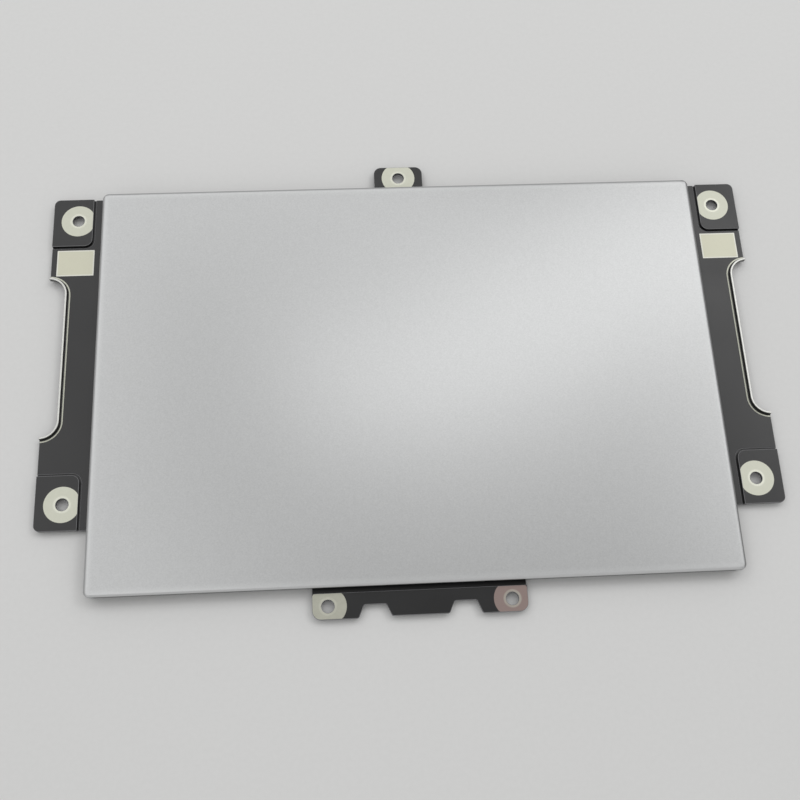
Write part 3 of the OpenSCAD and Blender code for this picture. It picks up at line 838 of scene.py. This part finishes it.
@dataclass
class Growth(ABC):
    """Pieces that repeat: a geometry tree sets one shape on every point of a carrier mesh."""

    name: str
    finish: Finish
    points: Sequence[Point]
    sizes: Dict[str, float]
    turns: Sequence[float] = ()
    edges: Sequence[Tuple[int, int]] = ()
    faces: Sequence[Tuple[int, ...]] = ()

    @abstractmethod
    def plant(self, g: Graph, carrier: Field, size: Dict[str, Field]) -> Field:
        """Set the shape on the carrier.

        Args:
            g: The tree.
            carrier: The carrier mesh.
            size: The named inputs, in metres.

        Returns:
            The instances or the mesh.
        """

    def carrier(self) -> bpy.types.Object:
        """The carrier mesh, with a turn for each point."""
        mesh = bpy.data.meshes.new(self.name)
        mesh.from_pydata([metres(p) for p in self.points], self.edges, self.faces)
        turns = mesh.attributes.new("turn", "FLOAT", "POINT")
        turns.data.foreach_set("value", [*self.turns] or [0.0] * len(self.points))
        return shown(mesh, self.name)

    def grow(self) -> bpy.types.Object:
        """Run the tree and keep its result as a plain mesh."""
        made = self.carrier()
        tree = bpy.data.node_groups.new(self.name, "GeometryNodeTree")
        tree.interface.new_socket("Geometry", in_out="INPUT", socket_type="NodeSocketGeometry")
        tree.interface.new_socket("Geometry", in_out="OUTPUT", socket_type="NodeSocketGeometry")
        inputs = {
            key: tree.interface.new_socket(key, in_out="INPUT", socket_type="NodeSocketFloat").identifier
            for key in self.sizes
        }
        g = Graph(tree)
        entry = g.add("NodeGroupInput")
        size = {key: entry.part(identifier) for key, identifier in inputs.items()}
        planted = self.plant(g, entry.part("Geometry"), size)
        real = g.add("GeometryNodeRealizeInstances", {}, {"Geometry": planted})
        clad = g.add("GeometryNodeSetMaterial", {}, {"Geometry": real, "Material": self.finish.material()})
        g.add("NodeGroupOutput", {}, {"Geometry": clad})
        modifier = made.modifiers.new("growth", "NODES")
        modifier.node_group = tree
        for key, identifier in inputs.items():
            modifier[identifier] = self.sizes[key] * MM
        made.update_tag()
        depsgraph = bpy.context.evaluated_depsgraph_get()
        mesh = bpy.data.meshes.new_from_object(made.evaluated_get(depsgraph), depsgraph=depsgraph)
        made.modifiers.clear()
        made.data = mesh
        smooth_but_sharp(mesh, 30.0)
        return made

    def on_points(self, g: Graph, points: Field, shape: Field) -> Field:
        """Instances of a shape on points, each turned about Z by its own angle."""
        named = g.add("GeometryNodeInputNamedAttribute", {"data_type": "FLOAT"}, {"Name": "turn"})
        sockets = {"Points": points, "Instance": shape, "Rotation": g.vector(z=named)}
        return g.add("GeometryNodeInstanceOnPoints", {}, sockets)

    def facing(self, g: Graph, up: bool) -> Field:
        """1 on faces that look up, or down."""
        height = g.add("GeometryNodeInputNormal").axis("Z")
        return height.above(LEVEL) if up else height.below(-LEVEL)

    def raise_face(self, g: Graph, mesh: Field, top: Field, rise: Term) -> Field:
        """Extrude a face along Z. The result's part "Top" is the moved face."""
        sockets = {"Mesh": mesh, "Selection": top, "Offset": g.vector(z=rise), "Individual": False}
        return g.add("GeometryNodeExtrudeMesh", {"mode": "FACES"}, sockets)

    def stepped(self, g: Graph, first: Field, steps: Sequence[Tuple[Term, Term]]) -> Field:
        """Grow a closed round shape upwards from its first layer.

        Args:
            g: The tree.
            first: A closed first layer with one face that looks up.
            steps: Rise and scale of the top face for each step.

        Returns:
            The closed shape.
        """
        mesh, top = first, self.facing(g, True)
        for rise, scale in steps:
            raised = self.raise_face(g, mesh, top, rise)
            top = raised.part("Top")
            sockets = {"Geometry": raised, "Selection": top, "Scale": scale}
            mesh = g.add("GeometryNodeScaleElements", {"domain": "FACE", "scale_mode": "UNIFORM"}, sockets)
        return mesh

    def drum(self, g: Graph, radius: Field, low: Term, height: Field) -> Field:
        """A closed round layer that stands on a height."""
        sockets = {"Vertices": SIDES, "Radius": radius, "Depth": height}
        drum = g.add("GeometryNodeMeshCylinder", {"fill_type": "NGON"}, sockets)
        return self.moved(g, drum, g.vector(z=low + 0.5 * height))

    def moved(self, g: Graph, shape: Field, by: Field) -> Field:
        """A shape that is moved by a vector."""
        return g.add("GeometryNodeTransform", {}, {"Geometry": shape, "Translation": by})

    def eased_block(self, g: Graph, x: Field, y: Field, z: Field, ease: Field) -> Field:
        """A block that hangs from the origin, with its lower edges eased."""
        cube = g.add("GeometryNodeMeshCube", {}, {"Size": g.vector(x, y, z - ease)})
        hung = self.moved(g, cube, g.vector(z=(ease - z) * 0.5))
        raised = self.raise_face(g, hung, self.facing(g, False), -1.0 * ease)
        spot = g.add("GeometryNodeInputPosition")
        inset = g.vector(1.0 - 2.0 * ease / x, 1.0 - 2.0 * ease / y, 1.0)
        drawn_in = g.add("ShaderNodeVectorMath", {"operation": "MULTIPLY"}, {0: spot, 1: inset})
        sockets = {"Geometry": raised, "Selection": raised.part("Top"), "Position": drawn_in}
        return g.add("GeometryNodeSetPosition", {}, sockets)


class RivetGrowth(Growth):
    """Rivets with a crowned head below and an upset end above."""

    def plant(self, g: Graph, carrier: Field, size: Dict[str, Field]) -> Field:
        """Head, shank and upset end, one closed shape on each point."""
        head, shank, upset = size["Head radius"], size["Shank radius"], size["Upset radius"]
        head_t, upset_t = size["Head height"], size["Upset height"]
        first = self.drum(g, head * 0.66, size["Low"] - head_t, head_t * 0.1)
        rivet = self.stepped(g, first, [
            (head_t * 0.15, 1.25), (head_t * 0.2, 1.15), (head_t * 0.2, 1.0 / 0.66 / 1.25 / 1.15),
            (head_t * 0.35, 1.0), (0.0, shank / head), (size["High"] - size["Low"], 1.0),
            (0.0, upset / shank), (upset_t * 0.4, 1.0), (upset_t * 0.35, 0.88), (upset_t * 0.25, 0.7),
        ])
        return self.on_points(g, carrier, rivet)


class BlockGrowth(Growth):
    """Eased blocks that hang under the board, one on each point."""

    def plant(self, g: Graph, carrier: Field, size: Dict[str, Field]) -> Field:
        """One block on each point."""
        block = self.eased_block(g, size["Width"], size["Depth"], size["Height"], size["Ease"])
        return self.on_points(g, carrier, block)


class EndGrowth(Growth):
    """The two metal ends of a chip, each with a low solder foot, on each point."""

    def plant(self, g: Graph, carrier: Field, size: Dict[str, Field]) -> Field:
        """A pair of ends on each point."""
        cap, reach = size["Cap"], (size["Length"] - size["Cap"]) * 0.5
        join = g.add("GeometryNodeJoinGeometry")
        for side in (-1.0, 1.0):
            end = self.eased_block(g, cap, size["Depth"], size["Height"], size["Ease"])
            foot = self.eased_block(g, cap * 0.9, size["Depth"] * 1.2, size["Height"] * 0.3, cap * 0.3)
            for shape, out in ((end, 0.0), (foot, 0.55)):
                placed = self.moved(g, shape, g.vector(x=side * (reach + cap * out)))
                g.tree.links.new(placed.socket, join.node.inputs[0])
        return self.on_points(g, carrier, join)


class StripGrowth(Growth):
    """Bent strips: a flat section follows the carrier's path, once for each place in a row."""

    count: int = 12
    bend_steps: int = 4

    def plant(self, g: Graph, carrier: Field, size: Dict[str, Field]) -> Field:
        """Sweep the strip and repeat it along X."""
        path = g.add("GeometryNodeMeshToCurve", {}, {"Mesh": carrier})
        fillet = {"Curve": path, "Radius": size["Bend"], "Count": self.bend_steps}
        bent = g.add("GeometryNodeFilletCurve", {"mode": "POLY"}, fillet)
        flat = {"Width": size["Width"], "Height": size["Thickness"]}
        section = g.add("GeometryNodeCurvePrimitiveQuadrilateral", {}, flat)
        sweep = {"Curve": bent, "Profile Curve": section, "Fill Caps": True}
        strip = g.add("GeometryNodeCurveToMesh", {}, sweep)
        line = {"Count": self.count, "Offset": g.vector(x=size["Pitch"])}
        row = g.add("GeometryNodeMeshLine", {"mode": "OFFSET"}, line)
        return g.add("GeometryNodeInstanceOnPoints", {}, {"Points": row, "Instance": strip})


class ViaGrowth(Growth):
    """Round lands with a dimple, scattered over the carrier's faces by a fixed seed."""

    density: float = 4e5
    seed: int = 11

    def plant(self, g: Graph, carrier: Field, size: Dict[str, Field]) -> Field:
        """A ring on each scattered point."""
        sockets = {
            "Mesh": carrier, "Distance Min": size["Spacing"], "Density Max": self.density, "Seed": self.seed,
        }
        spots = g.add("GeometryNodeDistributePointsOnFaces", {"distribute_method": "POISSON"}, sockets)
        rise = size["Rise"]
        first = self.drum(g, size["Radius"], 0.0, rise)
        ring = self.stepped(g, first, [(rise * 0.3, 0.9), (0.0, 0.55), (rise * -0.9, 0.9)])
        turned_over = g.add("GeometryNodeTransform", {}, {"Geometry": ring, "Rotation": (math.pi, 0.0, 0.0)})
        return g.add("GeometryNodeInstanceOnPoints", {}, {"Points": spots, "Instance": turned_over})


@dataclass
class TouchSurface:
    """The silver touch surface and the film that bonds it to the board."""

    half_w: float = 60.0
    half_d: float = 40.5
    corner_r: float = 1.2
    least_r: float = 0.3
    bottom: float = 2.7
    top: float = 3.3
    edge_r: float = 0.5
    edge_steps: int = 8
    border: float = 0.5
    relief: float = 0.05

    def loop(self, inset: float, z: float) -> List[Point]:
        """The outline at a height, drawn in by an inset."""
        r = max(self.corner_r - inset, self.least_r)
        return rounded_box(self.half_w - inset, self.half_d - inset, r, z)

    def build(self) -> bpy.types.Object:
        """The cover: a broken lower edge, a short wall, and a rounded upper edge."""
        rings = [self.loop(self.relief, self.bottom), self.loop(0.0, self.bottom + self.relief)]
        for k in range(self.edge_steps + 1):
            a = math.radians(90 * k / self.edge_steps)
            rings.append(
                self.loop(self.edge_r * (1 - math.cos(a)), self.top - self.edge_r * (1 - math.sin(a)))
            )
        rings.append(self.loop(self.edge_r + self.border, self.top))
        sketch = Sketch()
        sketch.stack(rings)
        return sketch.closed("touch_surface", SILVER)

    def dress(self) -> None:
        """Tie the cover to the frame and finish the film under it."""
        settle(self.build(), Body.TOUCH, Slot.COVER_SILVER, "touch_cover")
        dress("cover_adhesive", TAPE)


@dataclass
class StampedBracket:
    """The black-coated sheet with its bare rings, earthing pads and sheared flange."""

    coat_t: float = 0.04
    ear_top: float = 1.5
    wing_top: float = 1.1
    flange_top: float = 1.9
    lug_y: float = -40.0
    pad_y: float = 23.3
    ease: float = 0.08
    near: float = 0.004
    weld: float = 0.003
    sliver: float = 0.006
    fold_angle: float = 3.0
    lip: float = 0.1

    def skin(self, face: bmesh.types.BMFace) -> Skin:
        """What a face of the sheet shows.

        Args:
            face: A face of the frame's bracket.

        Returns:
            The face's skin.
        """
        _, y, z = face.calc_center_median() / MM
        if face.normal.z < LEVEL:
            return Skin.COAT
        if abs(z - self.flange_top) < self.near:
            return Skin.SHEARED
        if abs(z - self.ear_top + self.coat_t) < self.near:
            return Skin.LUG if y < self.lug_y else Skin.BARE
        if abs(z - self.wing_top + self.coat_t) < self.near:
            return Skin.PAD if y > self.pad_y else Skin.BARE
        return Skin.COAT

    def level_coat(self, bm: bmesh.types.BMesh) -> None:
        """Bring the bare floors level with the coat, so that edges can be rounded across them."""
        for vert in bm.verts:
            for level in (self.ear_top, self.wing_top):
                if abs(vert.co.z / MM - level + self.coat_t) < self.near:
                    vert.co.z = level * MM
        bmesh.ops.remove_doubles(bm, verts=bm.verts, dist=self.weld * MM)
        bmesh.ops.dissolve_degenerate(bm, edges=bm.edges, dist=self.sliver * MM)
        folds = [e for e in bm.edges if len(e.link_faces) == 2 and e.calc_face_angle() > self.fold_angle]
        bmesh.ops.dissolve_edges(bm, edges=folds, use_verts=True)

    def build(self) -> bpy.types.Object:
        """The sheet with rounded edges and a skin on every face."""
        bm = merged_copy("mounting_bracket")
        for face in bm.faces:
            face.material_index = self.skin(face)
        self.level_coat(bm)
        join_flat_faces(bm)
        break_edges(bm, self.ease, Skin.EDGE)
        for face in bm.faces:
            height = face.calc_center_median().z / MM
            if face.material_index == Skin.EDGE and height > self.flange_top - self.lip:
                face.material_index = Skin.SHEARED
        return finished(bm, "stamped_bracket", [COAT, EDGE_WEAR_AND_GLINT, RINGS, SHEARED, LUGS, PADS])

    def dress(self) -> None:
        """Tie the sheet to the frame."""
        settle(self.build(), Body.BRACKET, Slot.COATED_STEEL, "mounting_bracket")


@dataclass
class LeafHinge:
    """Two leaf springs with their rivets, and the rubber stops at the front."""

    hinge_y: float = 30.0
    hinge_z: float = 1.2
    free_half: float = 1.0
    leaf_ease: float = 0.03
    slices: int = 9
    rivet_xs: Tuple[float, ...] = (-44.0, -32.0, 32.0, 44.0)
    bracket_y: float = 34.6
    carrier_y: float = 24.5
    rivet: Dict[str, float] = field(default_factory=lambda: {
        "Head radius": 1.3, "Head height": 0.25, "Shank radius": 0.75, "Upset radius": 1.3,
    })
    bracket_grip: Dict[str, float] = field(
        default_factory=lambda: {"Upset height": 0.25, "Low": 0.5, "High": 1.3}
    )
    carrier_grip: Dict[str, float] = field(
        default_factory=lambda: {"Upset height": 0.08, "Low": 1.1, "High": 1.7}
    )

    def leaf(self, node: str, name: str) -> bpy.types.Object:
        """A leaf with eased edges and enough slices across its free span to bend."""
        bm = eased_shape(node, self.leaf_ease)
        for k in range(self.slices):
            y = self.hinge_y + self.free_half * (2 * k / (self.slices - 1) - 1)
            bmesh.ops.bisect_plane(
                bm, geom=[*bm.verts, *bm.edges, *bm.faces], dist=1e-7,
                plane_co=metres((0, y, 0)), plane_no=(0, 1, 0),
            )
        return finished(bm, name, [SPRING])

    def dress(self) -> None:
        """Blend the leaves across the hinge, and tie rivets and stops to their bodies."""
        for side in ("left", "right"):
            node = f"hinge_leaf_{side}"
            leaf = self.leaf(node, f"leaf_spring_{side}")
            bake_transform(leaf)
            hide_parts(node)
            LOG.info("%s bends between two bodies", leaf.name)
        rows = (
            ("rear_rail_rivets", "bracket_rivets", self.bracket_y, self.bracket_grip, Body.BRACKET),
            ("carrier_leaf_rivets", "carrier_rivets", self.carrier_y, self.carrier_grip, Body.TOUCH),
        )
        for name, node, y, grip, body in rows:
            points = [(x, y, 0.0) for x in self.rivet_xs]
            rivets = RivetGrowth(name, RIVET, points, {**self.rivet, **grip})
            settle(rivets.grow(), body, Slot.RIVET_STEEL, node)
        refine("stop_bumpers", "rubber_stops", RUBBER, 0.12, Body.BRACKET, Slot.BUMPER_RUBBER)


@dataclass
class BoardStack:
    """The sensor board with its lands, and the carrier plate under it."""

    underside: float = 1.8
    window: Tuple[Spot, Spot] = ((-27.0, -6.0), (27.0, 22.0))
    vias: Dict[str, float] = field(default_factory=lambda: {"Radius": 0.17, "Rise": 0.02, "Spacing": 1.9})

    def dress(self) -> None:
        """Finish the board and plate, and tie the lands to the board."""
        dress("sensor_board", MASK)
        dress("carrier_adhesive", TAPE)
        refine("carrier_plate", "carrier_sheet", CARRIER, 0.06, Body.TOUCH, Slot.CARRIER_STEEL)
        (x0, y0), (x1, y1) = self.window
        z = self.underside
        corners = [(x0, y0, z), (x0, y1, z), (x1, y1, z), (x1, y0, z)]
        lands = ViaGrowth("board_lands", TIN, corners, self.vias, faces=[(0, 1, 2, 3)])
        settle(lands.grow(), Body.TOUCH, Slot.TINNED_METAL)


@dataclass
class ChipField:
    """The packaged chips and the two-ended chips in the carrier's window."""

    board: float = 1.8
    middle_y: float = 8.0
    capacitors: Tuple[Spot, ...] = (
        (-19, 4), (-19, 1), (-19, -2), (-19, -5), (-5, -4), (-5, -6.5), (13, -3), (23, -3),
        (13, -6), (23, -6), (13, 0), (-24, 6), (-24, -6), (-14, -9),
    )
    resistors: Tuple[Spot, ...] = (
        (-8, 6.5), (-10, 6.5), (-12, 6.5), (-14, 6.5), (-16, 6.5), (-1, -1), (1, -1), (3, -1), (5, -1),
        (-1, -3), (1, -3), (3, -3), (18, -7),
    )
    capacitor_size: Point = (1.6, 0.8, 0.8)
    resistor_size: Point = (1.0, 0.5, 0.35)
    end_share: float = 0.25
    inset: float = 0.02
    controller: Spot = (-12.0, 7.0)
    controller_half: float = 4.0
    land_pitch: float = 0.5
    lands_per_side: int = 13
    regulator: Spot = (18.0, 5.0)
    lead_pitch: float = 0.95
    lead_reach: float = 0.9

    def spots(self, places: Sequence[Spot]) -> List[Point]:
        """Places on the board's underside."""
        return [(x, y + self.middle_y, self.board) for x, y in places]

    def bodies(self, name: str, finish: Finish, places: Sequence[Spot], size: Point) -> bpy.types.Object:
        """The bodies of two-ended chips, a little smaller than their ends."""
        sizes = {
            "Width": size[0] * (1 - 2 * self.end_share) + 2 * self.inset, "Depth": size[1] - 2 * self.inset,
            "Height": size[2] - self.inset, "Ease": self.inset,
        }
        return BlockGrowth(name, finish, self.spots(places), sizes).grow()

    def ends(self, name: str, places: Sequence[Spot], size: Point) -> bpy.types.Object:
        """The metal ends of two-ended chips."""
        sizes = {
            "Length": size[0], "Cap": size[0] * self.end_share, "Depth": size[1], "Height": size[2],
            "Ease": 2 * self.inset,
        }
        return EndGrowth(name, TIN, self.spots(places), sizes).grow()

    def lands(self) -> bpy.types.Object:
        """Solder lands round the controller's four sides."""
        points: List[Point] = []
        turns: List[float] = []
        for side in range(4):
            a = side * math.pi / 2
            for k in range(self.lands_per_side):
                along = (k - (self.lands_per_side - 1) / 2) * self.land_pitch
                x = self.controller[0] + self.controller_half * math.cos(a) - along * math.sin(a)
                y = self.controller[1] + self.controller_half * math.sin(a) + along * math.cos(a)
                points.append((x, y, self.board))
                turns.append(a)
        sizes = {"Width": 0.5, "Depth": 0.26, "Height": 0.08, "Ease": 0.04}
        return BlockGrowth("controller_lands", TIN, points, sizes, turns).grow()

    def leads(self) -> bpy.types.Object:
        """Bent leads on both sides of the regulator."""
        points: List[Point] = []
        turns: List[float] = []
        for k, side in ((-1, -1), (0, -1), (1, -1), (-1, 1), (1, 1)):
            x = self.regulator[0] + k * self.lead_pitch
            y = self.regulator[1] + side * self.lead_reach
            points.append((x, y, self.board))
            turns.append(math.pi / 2)
        sizes = {"Width": 0.6, "Depth": 0.4, "Height": 0.15, "Ease": 0.05}
        return BlockGrowth("regulator_feet", TIN, points, sizes, turns).grow()

    def dress(self) -> None:
        """Build every chip and tie it to the board's body."""
        for node, name, ease in (
            ("touch_controller", "controller_package", 0.03), ("memory_chip", "memory_package", 0.06),
            ("regulator_body", "regulator_package", 0.1),
        ):
            refine(node, name, EPOXY, ease, Body.TOUCH, Slot.CHIP_BLACK)
        settle(self.lands(), Body.TOUCH, Slot.TINNED_METAL)
        settle(self.leads(), Body.TOUCH, Slot.TINNED_METAL, "regulator_leads")
        ceramic = self.bodies("capacitor_bodies", CERAMIC, self.capacitors, self.capacitor_size)
        settle(ceramic, Body.TOUCH, Slot.CERAMIC, "chip_capacitors")
        glazed = self.bodies("resistor_bodies", FILM_BLACK, self.resistors, self.resistor_size)
        settle(glazed, Body.TOUCH, Slot.CHIP_BLACK, "chip_resistors")
        ends = self.ends("capacitor_ends", self.capacitors, self.capacitor_size)
        settle(ends, Body.TOUCH, Slot.TINNED_METAL, "chip_terminals")
        settle(self.ends("resistor_ends", self.resistors, self.resistor_size), Body.TOUCH, Slot.TINNED_METAL)


@dataclass
class CableConnector:
    """The flat-cable connector with its row of contacts and its flip lock."""

    first_x: float = 5.25
    pitch: float = 0.5
    path: Tuple[Spot, ...] = ((9.3, 1.74), (10.3, 1.74), (10.3, 1.44), (13.4, 1.44))
    strip: Dict[str, float] = field(default_factory=lambda: {"Width": 0.2, "Thickness": 0.12, "Bend": 0.09})

    def dress(self) -> None:
        """Build housing, contacts, anchors and lock, and tie them to their bodies."""
        refine("connector_housing", "connector_shell", IVORY, 0.02, Body.TOUCH, Slot.IVORY)
        points = [(self.first_x, y, z) for y, z in self.path]
        edges = [(k, k + 1) for k in range(len(points) - 1)]
        contacts = StripGrowth("contact_row", TIN, points, {**self.strip, "Pitch": self.pitch}, edges=edges)
        settle(contacts.grow(), Body.TOUCH, Slot.TINNED_METAL, "connector_contacts")
        refine("connector_anchors", "anchor_tabs", TIN, 0.03, Body.TOUCH, Slot.TINNED_METAL)
        refine("connector_latch", "flip_lock", LATCH_RESIN, 0.04, Body.LATCH, Slot.LATCH_BLACK)


@dataclass
class ClickSwitch:
    """The dome switch at the front: base, lid, feet, dome and plunger."""

    at: Spot = (0.0, -35.0)
    plunger_profile: Tuple[Spot, ...] = (
        (0.6, 0.77), (0.8, 0.79), (0.88, 0.85), (0.9, 0.92), (0.9, 1.19), (0.94, 1.21), (1.36, 1.21),
        (1.4, 1.25), (1.4, 1.31), (1.36, 1.35),
    )
    dome_r: float = 1.7
    dome_crown: float = 1.37
    dome_rim: float = 1.63
    dome_t: float = 0.06
    dome_keep: float = 0.05
    dome_steps: int = 8
    dome_least_r: float = 0.02

    def dome(self) -> bpy.types.Object:
        """A thin snap dome, crown down."""
        rise = self.dome_rim - self.dome_crown
        ball = (self.dome_r ** 2 + rise ** 2) / (2 * rise)
        shares = [k / self.dome_steps for k in range(self.dome_steps + 1)]
        radii = [max(self.dome_r * share, self.dome_least_r) for share in shares]
        outer = [(r, self.dome_crown + ball - math.sqrt(ball ** 2 - r ** 2)) for r in radii]
        inner = [(r, min(z + self.dome_t, self.dome_rim)) for r, z in outer]
        inner[-1] = (self.dome_r - self.dome_t, self.dome_rim)
        return turned([*outer, *reversed(inner)], self.at, "snap_dome", SPRING)

    def dress(self) -> None:
        """Build the switch and tie its parts to their bodies."""
        for node, name, finish, slot, ease in (
            ("switch_base", "switch_body", EPOXY, Slot.CHIP_BLACK, 0.04),
            ("switch_cover", "switch_lid", SPRING, Slot.SPRING_STEEL, 0.02),
            ("switch_terminals", "switch_feet", TIN, Slot.TINNED_METAL, 0.03),
        ):
            refine(node, name, finish, ease, Body.TOUCH, slot)
        dome = settle(self.dome(), Body.TOUCH, Slot.SPRING_STEEL, "switch_dome")
        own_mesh(dome)
        plunger = turned(self.plunger_profile, self.at, "switch_nib", IVORY)
        settle(plunger, Body.PLUNGER, Slot.IVORY, "switch_plunger")


@dataclass(frozen=True)
class Lamp:
    """A soft light panel that hangs level over the object."""

    name: str
    at: Point
    width: float
    depth: float
    watts: float
    turn: float = 0.0

    def hang(self) -> None:
        """Put the lamp in the scene."""
        data = bpy.data.lights.new(self.name, "AREA")
        data.shape = "RECTANGLE"
        data.size = self.width * MM
        data.size_y = self.depth * MM
        data.energy = self.watts
        lamp = bpy.data.objects.new(self.name, data)
        bpy.context.scene.collection.objects.link(lamp)
        lamp.location = metres(self.at)
        lamp.rotation_euler.z = math.radians(self.turn)


@dataclass
class Studio:
    """Pale floor, soft lights and the camera at the photograph's angle."""

    floor_half: float = 3000.0
    floor_z: float = -0.03
    camera_at: Point = (-10.995, -65.835, 184.579)
    right: Point = (0.99829, -0.04757, 0.03383)
    up: Point = (0.03446, 0.94803, 0.31631)
    back: Point = (-0.04711, -0.31460, 0.94805)
    lens: float = 45.175
    sensor: float = 36.0
    sight: float = 20.0
    air: Tone = Tone(236, 236, 236)
    air_light: float = 0.62
    air_mirrored: float = 0.38
    lamps: Tuple[Lamp, ...] = (
        Lamp("key_light", (323.0, 382.0, 700.0), 480.0, 150.0, 0.53, 26.0),
        Lamp("middle_light", (30.0, 249.0, 700.0), 200.0, 80.0, 0.175),
        Lamp("right_light", (560.0, 460.0, 700.0), 360.0, 320.0, 0.34),
        Lamp("rear_light", (-60.0, 520.0, 700.0), 320.0, 240.0, 0.26),
        Lamp("left_light", (-435.0, 370.0, 700.0), 430.0, 540.0, 0.78),
        Lamp("wing_light", (520.0, 180.0, 700.0), 300.0, 300.0, 0.68),
        Lamp("front_light", (-375.0, -50.0, 700.0), 550.0, 300.0, 0.4),
    )

    def floor(self) -> None:
        """A plain pale floor just under the part."""
        bm = bmesh.new()
        bmesh.ops.create_grid(bm, x_segments=8, y_segments=8, size=self.floor_half * MM)
        bmesh.ops.translate(bm, verts=bm.verts, vec=metres((0.0, 0.0, self.floor_z)))
        finished(bm, "studio_floor", [PAPER])

    def surroundings(self) -> None:
        """Pale air: a soft light and a backdrop for the object, and a dimmer one for gloss."""
        world = bpy.data.worlds.new("studio_air")
        world.use_nodes = True
        g = Graph(world.node_tree)
        rays = g.add("ShaderNodeLightPath")
        strength = self.air_light + (self.air_mirrored - self.air_light) * rays.part("Is Glossy Ray")
        sky = g.add("ShaderNodeBackground", {}, {"Color": self.air.linear(), "Strength": strength})
        g.add("ShaderNodeOutputWorld", {}, {"Surface": sky})
        bpy.context.scene.world = world

    def camera(self) -> None:
        """The camera that took the photograph."""
        data = bpy.data.cameras.new("photo_camera")
        data.lens = self.lens
        data.sensor_width = self.sensor
        data.clip_start = MM
        data.clip_end = self.sight
        camera = bpy.data.objects.new("photo_camera", data)
        bpy.context.scene.collection.objects.link(camera)
        turn = Matrix((self.right, self.up, self.back)).transposed().to_quaternion()
        camera.matrix_world = Matrix.Translation(metres(self.camera_at)) @ turn.to_matrix().to_4x4()
        bpy.context.scene.camera = camera

    def build(self) -> None:
        """Set the whole studio up."""
        bpy.context.scene.view_settings.view_transform = "Standard"
        self.floor()
        self.surroundings()
        self.camera()
        for lamp in self.lamps:
            lamp.hang()


def main() -> None:
    """Build every sub-assembly in order and write the two boxes."""
    logging.basicConfig(level=logging.INFO, format="%(name)s: %(message)s")
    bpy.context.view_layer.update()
    Studio().build()
    assemblies = (
        TouchSurface(), StampedBracket(), LeafHinge(), BoardStack(),
        ChipField(), CableConnector(), ClickSwitch(),
    )
    for assembly in assemblies:
        assembly.dress()


if __name__ == "__main__":
    main()
